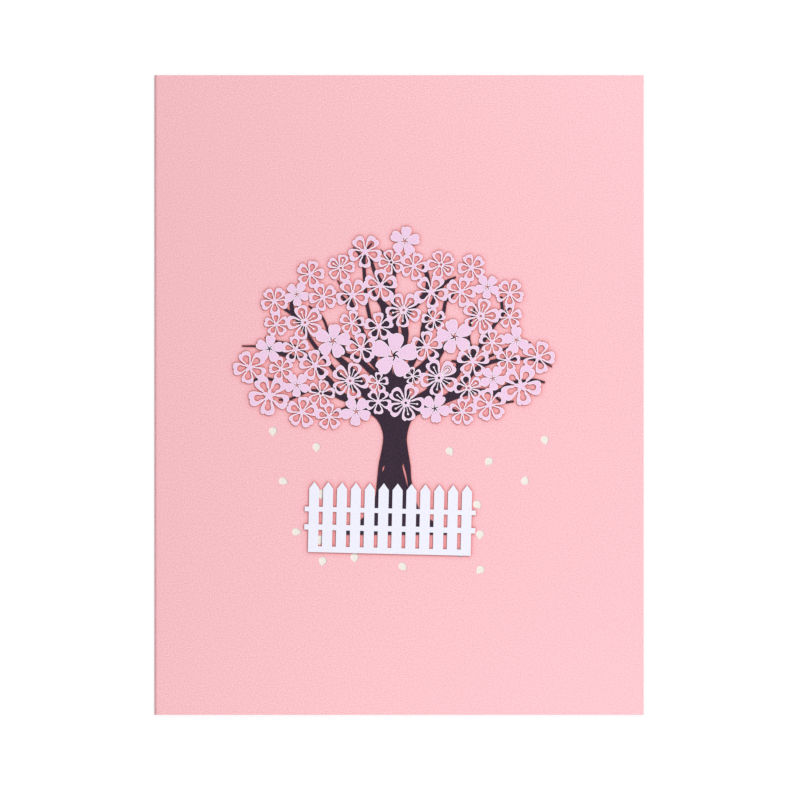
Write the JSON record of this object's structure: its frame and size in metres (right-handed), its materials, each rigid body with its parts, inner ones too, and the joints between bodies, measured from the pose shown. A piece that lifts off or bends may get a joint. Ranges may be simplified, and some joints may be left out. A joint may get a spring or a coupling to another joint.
{
  "type": "pop up card",
  "caption": "Folded paper pop-up card lying closed on its back: pink cover with a laser-cut tree in blossom, picket fence and petal windows, a liner and a folded pop-up inside.",
  "frame": {"origin": "middle of the back cover's outer face, on which the closed card lies", "axes": "+Z out of the front cover, +Y up the picture towards the top edge, +X across the front from the folded spine to the open edge"},
  "size_m": [0.153, 0.2, 0.0025],
  "materials": {
    "pink_card": "satin",
    "cream_paper": "matte",
    "dark_card": "matte",
    "lilac_card": "matte",
    "white_card": "matte"
  },
  "bodies": {
    "root": {"cover": "pink_card", "liner": "cream_paper", "pop_up_sheet": "cream_paper", "tree_silhouette": "dark_card", "blossom_canopy": "lilac_card", "picket_fence": "white_card"}
  },
  "joints": []
}
